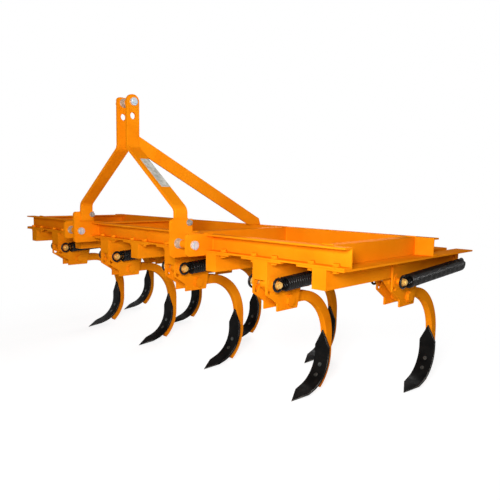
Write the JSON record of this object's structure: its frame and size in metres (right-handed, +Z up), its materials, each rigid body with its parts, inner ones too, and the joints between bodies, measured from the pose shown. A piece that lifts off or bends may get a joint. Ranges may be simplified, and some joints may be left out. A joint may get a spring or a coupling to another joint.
{
  "type": "tractor cultivator",
  "caption": "Three-point mounted cultivator with curved sprung tynes in two staggered rows under a channel frame, an A-shaped mast and reversible shovels.",
  "frame": {"origin": "middle of the machine's bounding box in plan, on the ground under the shovel tips", "axes": "+X to the machine's left-hand side seen from behind, along the beams; +Y backwards, away from the tractor; +Z up"},
  "size_m": [2.008, 0.957, 1.0821],
  "materials": {
    "frame_paint": "gloss orange paint",
    "spring_black": "black",
    "shovel_black": "black, worn at the edges",
    "bright_steel": "bright zinc",
    "pin_yellow": "yellow zinc"
  },
  "bodies": {
    "frame": {"front_beam": "frame_paint", "rear_beam": "frame_paint", "end_member_left": "frame_paint", "end_member_right": "frame_paint", "inner_member_left": "frame_paint", "inner_member_right": "frame_paint", "hitch_plates_left": "frame_paint", "hitch_plates_right": "frame_paint", "link_pin_left": "bright_steel", "link_pin_right": "bright_steel", "mast_bar_left": "frame_paint", "mast_bar_right": "frame_paint", "top_pin": "bright_steel", "rear_brace": "frame_paint", "springs_front": "spring_black", "springs_rear": "spring_black", "pivot_bolts": "bright_steel", "anchor_bolts": "bright_steel", "carrier_1": "frame_paint", "carrier_2": "frame_paint", "carrier_3": "frame_paint", "carrier_4": "frame_paint", "carrier_5": "frame_paint", "carrier_6": "frame_paint", "carrier_7": "frame_paint", "carrier_8": "frame_paint", "carrier_9": "frame_paint"},
    "tyne_body_1": {"tyne_1": "frame_paint", "shovel_1": "shovel_black", "pull_pin_1": "pin_yellow"},
    "tyne_body_2": {"tyne_2": "frame_paint", "shovel_2": "shovel_black", "pull_pin_2": "pin_yellow"},
    "tyne_body_3": {"tyne_3": "frame_paint", "shovel_3": "shovel_black", "pull_pin_3": "pin_yellow"},
    "tyne_body_4": {"tyne_4": "frame_paint", "shovel_4": "shovel_black", "pull_pin_4": "pin_yellow"},
    "tyne_body_5": {"tyne_5": "frame_paint", "shovel_5": "shovel_black", "pull_pin_5": "pin_yellow"},
    "tyne_body_6": {"tyne_6": "frame_paint", "shovel_6": "shovel_black", "pull_pin_6": "pin_yellow"},
    "tyne_body_7": {"tyne_7": "frame_paint", "shovel_7": "shovel_black", "pull_pin_7": "pin_yellow"},
    "tyne_body_8": {"tyne_8": "frame_paint", "shovel_8": "shovel_black", "pull_pin_8": "pin_yellow"},
    "tyne_body_9": {"tyne_9": "frame_paint", "shovel_9": "shovel_black", "pull_pin_9": "pin_yellow"}
  },
  "joints": [
    {"name": "trip_1", "type": "hinge", "parent": "frame", "child": "tyne_body_1", "pos_m": [-0.69, -0.2835, 0.37062], "axis": [1, 0, 0], "range_deg": [0, 15], "stiffness_Nm_per_rad": 300, "springref_deg": -14.32},
    {"name": "trip_2", "type": "hinge", "parent": "frame", "child": "tyne_body_2", "pos_m": [-0.23, -0.2835, 0.37062], "axis": [1, 0, 0], "range_deg": [0, 15], "stiffness_Nm_per_rad": 300, "springref_deg": -14.32},
    {"name": "trip_3", "type": "hinge", "parent": "frame", "child": "tyne_body_3", "pos_m": [0.23, -0.2835, 0.37062], "axis": [1, 0, 0], "range_deg": [0, 15], "stiffness_Nm_per_rad": 300, "springref_deg": -14.32},
    {"name": "trip_4", "type": "hinge", "parent": "frame", "child": "tyne_body_4", "pos_m": [0.69, -0.2835, 0.37062], "axis": [1, 0, 0], "range_deg": [0, 15], "stiffness_Nm_per_rad": 300, "springref_deg": -14.32},
    {"name": "trip_5", "type": "hinge", "parent": "frame", "child": "tyne_body_5", "pos_m": [-0.92, 0.0785, 0.37062], "axis": [1, 0, 0], "range_deg": [0, 15], "stiffness_Nm_per_rad": 300, "springref_deg": -14.32},
    {"name": "trip_6", "type": "hinge", "parent": "frame", "child": "tyne_body_6", "pos_m": [-0.46, 0.0785, 0.37062], "axis": [1, 0, 0], "range_deg": [0, 15], "stiffness_Nm_per_rad": 300, "springref_deg": -14.32},
    {"name": "trip_7", "type": "hinge", "parent": "frame", "child": "tyne_body_7", "pos_m": [0, 0.0785, 0.37062], "axis": [1, 0, 0], "range_deg": [0, 15], "stiffness_Nm_per_rad": 300, "springref_deg": -14.32},
    {"name": "trip_8", "type": "hinge", "parent": "frame", "child": "tyne_body_8", "pos_m": [0.46, 0.0785, 0.37062], "axis": [1, 0, 0], "range_deg": [0, 15], "stiffness_Nm_per_rad": 300, "springref_deg": -14.32},
    {"name": "trip_9", "type": "hinge", "parent": "frame", "child": "tyne_body_9", "pos_m": [0.92, 0.0785, 0.37062], "axis": [1, 0, 0], "range_deg": [0, 15], "stiffness_Nm_per_rad": 300, "springref_deg": -14.32}
  ]
}
